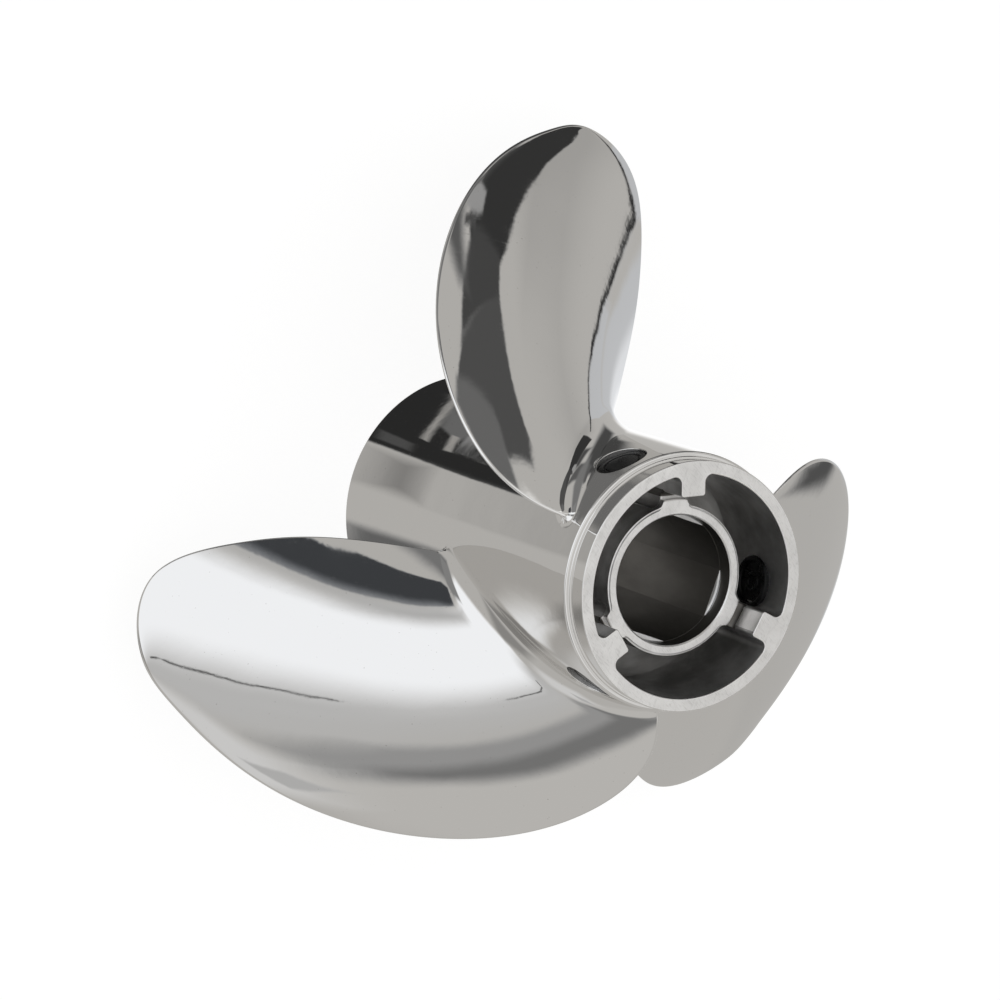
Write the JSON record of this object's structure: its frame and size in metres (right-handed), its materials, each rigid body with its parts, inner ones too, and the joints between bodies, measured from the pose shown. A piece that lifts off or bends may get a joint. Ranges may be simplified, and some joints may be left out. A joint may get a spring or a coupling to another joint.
{
  "type": "ship propeller",
  "caption": "Polished steel ship propeller with broad swept blades on an exhaust-through barrel with a flared rear end and an open spoked hub.",
  "frame": {"origin": "on the shaft line, in the plane of the barrel's rear end, which rests on the floor", "axes": "+Z along the shaft line, from the rear end to the front end that meets the gearcase"},
  "size_m": [0.3531, 0.3545, 0.215],
  "materials": {
    "polished_steel": "mirror polished, machined on the front and hub faces, dark as-cast inside",
    "black_plastic": "satin black"
  },
  "bodies": {
    "root": {"propeller_casting": "polished_steel", "vent_plug_1": "black_plastic", "vent_plug_2": "black_plastic", "vent_plug_3": "black_plastic"}
  },
  "joints": []
}
